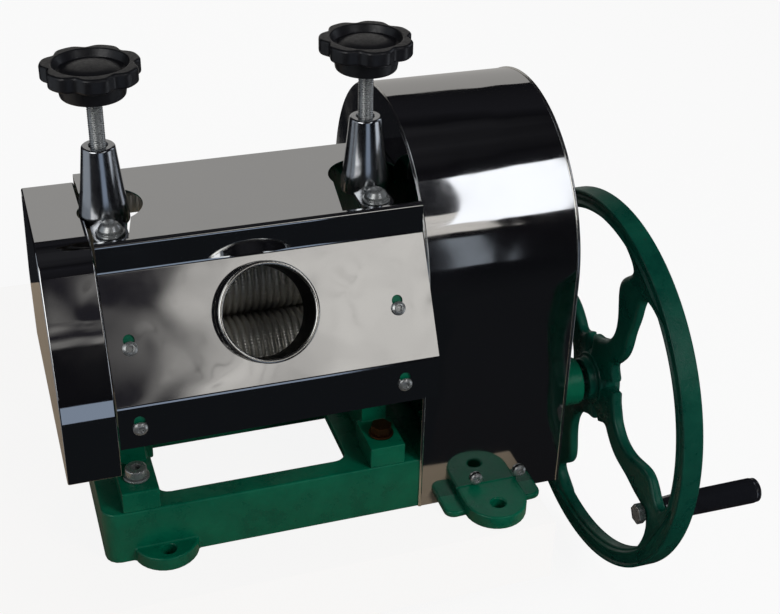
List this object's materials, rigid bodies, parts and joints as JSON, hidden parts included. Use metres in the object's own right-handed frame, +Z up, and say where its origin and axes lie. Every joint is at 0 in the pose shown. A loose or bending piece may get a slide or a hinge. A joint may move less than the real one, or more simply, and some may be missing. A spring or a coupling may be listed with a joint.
{
  "type": "hand-cranked roller juice press",
  "caption": "Bench-top hand-cranked press: geared rollers under polished sheet covers on a green cast base, with pressure knobs, feed tube and spoked handwheel.",
  "frame": {"origin": "on the base casting's underside, below the middle of the right side frame and midway between the base's long faces", "axes": "+X along the rollers towards the handwheel, -Y towards the feed tube, +Z up"},
  "size_m": [0.5727, 0.4324, 0.4923],
  "materials": {
    "green_enamel": "green enamel on grey cast iron",
    "polished_steel": "mirror-polished stainless sheet",
    "chrome": "bright chrome",
    "zinc": "zinc-plated steel",
    "roller_steel": "turned stainless steel with a fine knurl",
    "shaft_steel": "turned steel",
    "gear_steel": "cut gear steel, lightly oiled",
    "bronze": "bearing bronze",
    "black_plastic": "moulded black phenolic"
  },
  "bodies": {
    "frame": {"base_casting": "green_enamel", "bracket_bolt_1": "zinc", "bracket_bolt_2": "zinc", "crank_bush_inner": "bronze", "crank_bush_outer": "bronze", "dome_bolt_left": "chrome", "dome_bolt_right": "chrome", "feed_tube": "polished_steel", "frame_bolt_left_back": "zinc", "frame_bolt_left_front": "zinc", "frame_bolt_right_back": "zinc", "frame_bolt_right_front": "zinc", "frame_washer_left_back": "zinc", "frame_washer_left_front": "zinc", "frame_washer_right_back": "zinc", "frame_washer_right_front": "zinc", "front_bush_left": "bronze", "front_bush_right": "bronze", "gear_bracket": "green_enamel", "gear_cover": "polished_steel", "juice_tray": "polished_steel", "layshaft_bush_left": "bronze", "layshaft_bush_right": "bronze", "left_end_cover": "polished_steel", "left_side_frame": "green_enamel", "main_cover": "polished_steel", "panel_screw_left": "zinc", "panel_screw_right": "zinc", "rear_bush_left": "bronze", "rear_bush_right": "bronze", "right_side_frame": "green_enamel", "screw_sleeve_left": "chrome", "screw_sleeve_right": "chrome", "skirt_screw_1": "zinc", "skirt_screw_2": "zinc", "strip_screw_left": "zinc", "strip_screw_right": "zinc"},
    "carriage": {"bearing_block_left": "bronze", "bearing_block_right": "bronze"},
    "top_roller_unit": {"top_roller": "roller_steel", "top_roller_gear": "gear_steel"},
    "front_roller_unit": {"front_roller": "roller_steel", "front_roller_gear": "gear_steel"},
    "rear_roller_unit": {"rear_roller": "roller_steel", "rear_roller_gear": "gear_steel", "drive_gear": "gear_steel"},
    "layshaft_unit": {"layshaft": "shaft_steel", "big_gear": "gear_steel", "lay_pinion": "gear_steel"},
    "crank_unit": {"crank_shaft": "shaft_steel", "crank_pinion": "gear_steel", "handwheel": "green_enamel", "wheel_nut": "zinc", "handle_bolt": "zinc", "handle_nut": "zinc"},
    "grip": {"handle_grip": "black_plastic"},
    "left_screw": {"pressure_stud_left": "zinc", "pressure_knob_left": "black_plastic"},
    "right_screw": {"pressure_stud_right": "zinc", "pressure_knob_right": "black_plastic"}
  },
  "joints": [
    {"name": "crank_turn", "type": "hinge", "parent": "frame", "child": "crank_unit", "pos_m": [0.2084, -0.036, 0.07474], "axis": [1, 0, 0], "continuous": true},
    {"name": "layshaft_turn", "type": "hinge", "parent": "frame", "child": "layshaft_unit", "pos_m": [0.0616, 0.0512, 0.20137], "axis": [1, 0, 0], "continuous": true},
    {"name": "rear_roller_turn", "type": "hinge", "parent": "frame", "child": "rear_roller_unit", "pos_m": [0, 0.0365, 0.15463], "axis": [1, 0, 0], "continuous": true},
    {"name": "front_roller_turn", "type": "hinge", "parent": "frame", "child": "front_roller_unit", "pos_m": [0, -0.0365, 0.15463], "axis": [1, 0, 0], "continuous": true},
    {"name": "top_roller_turn", "type": "hinge", "parent": "carriage", "child": "top_roller_unit", "pos_m": [0, 0, 0.212], "axis": [1, 0, 0], "continuous": true},
    {"name": "carriage_lift", "type": "slide", "parent": "frame", "child": "carriage", "axis": [0, 0, 1], "range_m": [0, 0.0017]},
    {"name": "left_screw_turn", "type": "hinge", "parent": "carriage", "child": "left_screw", "pos_m": [-0.2045, 0, 0.398], "axis": [0, 0, 1], "range_deg": [0, 350]},
    {"name": "right_screw_turn", "type": "hinge", "parent": "carriage", "child": "right_screw", "pos_m": [0, 0, 0.398], "axis": [0, 0, 1], "range_deg": [0, 350]},
    {"name": "grip_spin", "type": "hinge", "parent": "crank_unit", "child": "grip", "pos_m": [0.2284, -0.15057, 0.01123], "axis": [1, 0, 0], "continuous": true}
  ],
  "couplings": [
    {"joint": "layshaft_turn", "follows": "crank_turn", "ratio": -0.26804},
    {"joint": "rear_roller_turn", "follows": "crank_turn", "ratio": 0.12996},
    {"joint": "top_roller_turn", "follows": "crank_turn", "ratio": -0.12996},
    {"joint": "front_roller_turn", "follows": "crank_turn", "ratio": 0.12996},
    {"joint": "left_screw_turn", "follows": "carriage_lift", "rad_per_m": 3590.4},
    {"joint": "right_screw_turn", "follows": "carriage_lift", "rad_per_m": 3590.4}
  ]
}
